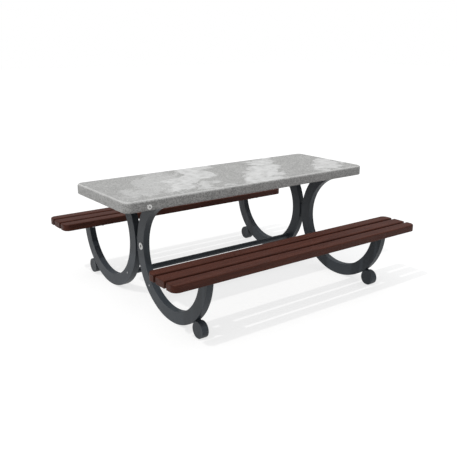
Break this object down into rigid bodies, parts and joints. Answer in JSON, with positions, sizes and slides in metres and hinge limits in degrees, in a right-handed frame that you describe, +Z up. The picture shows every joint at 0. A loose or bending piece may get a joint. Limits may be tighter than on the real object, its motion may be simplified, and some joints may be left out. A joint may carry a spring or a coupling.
{
  "type": "picnic table",
  "caption": "Picnic table with a concrete top and two slatted seats, carried by end frames of bent box section on drum feet and joined by round rails.",
  "frame": {"origin": "on the ground under the middle of the table", "axes": "+X along the table towards its right end, +Y from the front seat to the rear seat, +Z up"},
  "size_m": [1.956, 1.692, 0.76],
  "materials": {
    "frame_coating": "anthracite powder coat, satin, very fine texture",
    "concrete": "light grey concrete, smooth, faintly clouded and speckled",
    "seat_timber": "red-brown stained timber, satin, fine grain",
    "zinc_steel": "zinc plated steel",
    "bright_steel": "stainless steel, turned and brushed",
    "black_steel": "black oxide steel"
  },
  "bodies": {
    "root": {"left_top_plate": "frame_coating", "right_top_plate": "frame_coating", "left_waist_spacer": "frame_coating", "right_waist_spacer": "frame_coating", "left_front_arc": "frame_coating", "left_front_arc_cap": "frame_coating", "left_front_foot": "frame_coating", "left_front_foot_covers": "frame_coating", "left_front_seat_bar": "frame_coating", "left_rear_arc": "frame_coating", "left_rear_arc_cap": "frame_coating", "left_rear_foot": "frame_coating", "left_rear_foot_covers": "frame_coating", "left_rear_seat_bar": "frame_coating", "right_front_arc": "frame_coating", "right_front_arc_cap": "frame_coating", "right_front_foot": "frame_coating", "right_front_foot_covers": "frame_coating", "right_front_seat_bar": "frame_coating", "right_rear_arc": "frame_coating", "right_rear_arc_cap": "frame_coating", "right_rear_foot": "frame_coating", "right_rear_foot_covers": "frame_coating", "right_rear_seat_bar": "frame_coating", "front_rail": "frame_coating", "rear_rail": "frame_coating", "tabletop_slab": "concrete", "front_seat_inner_plank": "seat_timber", "front_seat_middle_plank": "seat_timber", "front_seat_outer_plank": "seat_timber", "rear_seat_inner_plank": "seat_timber", "rear_seat_middle_plank": "seat_timber", "rear_seat_outer_plank": "seat_timber", "slab_inserts": "zinc_steel", "slab_bolts": "zinc_steel", "slab_washers": "zinc_steel", "rail_plugs": "zinc_steel", "rail_sleeves": "zinc_steel", "front_seat_screws": "zinc_steel", "rear_seat_screws": "zinc_steel", "front_seat_washers": "zinc_steel", "rear_seat_washers": "zinc_steel", "rail_bolts": "bright_steel", "leg_disc": "bright_steel", "slab_disc": "bright_steel", "leg_disc_screw": "black_steel", "slab_disc_screw": "black_steel"}
  },
  "joints": []
}
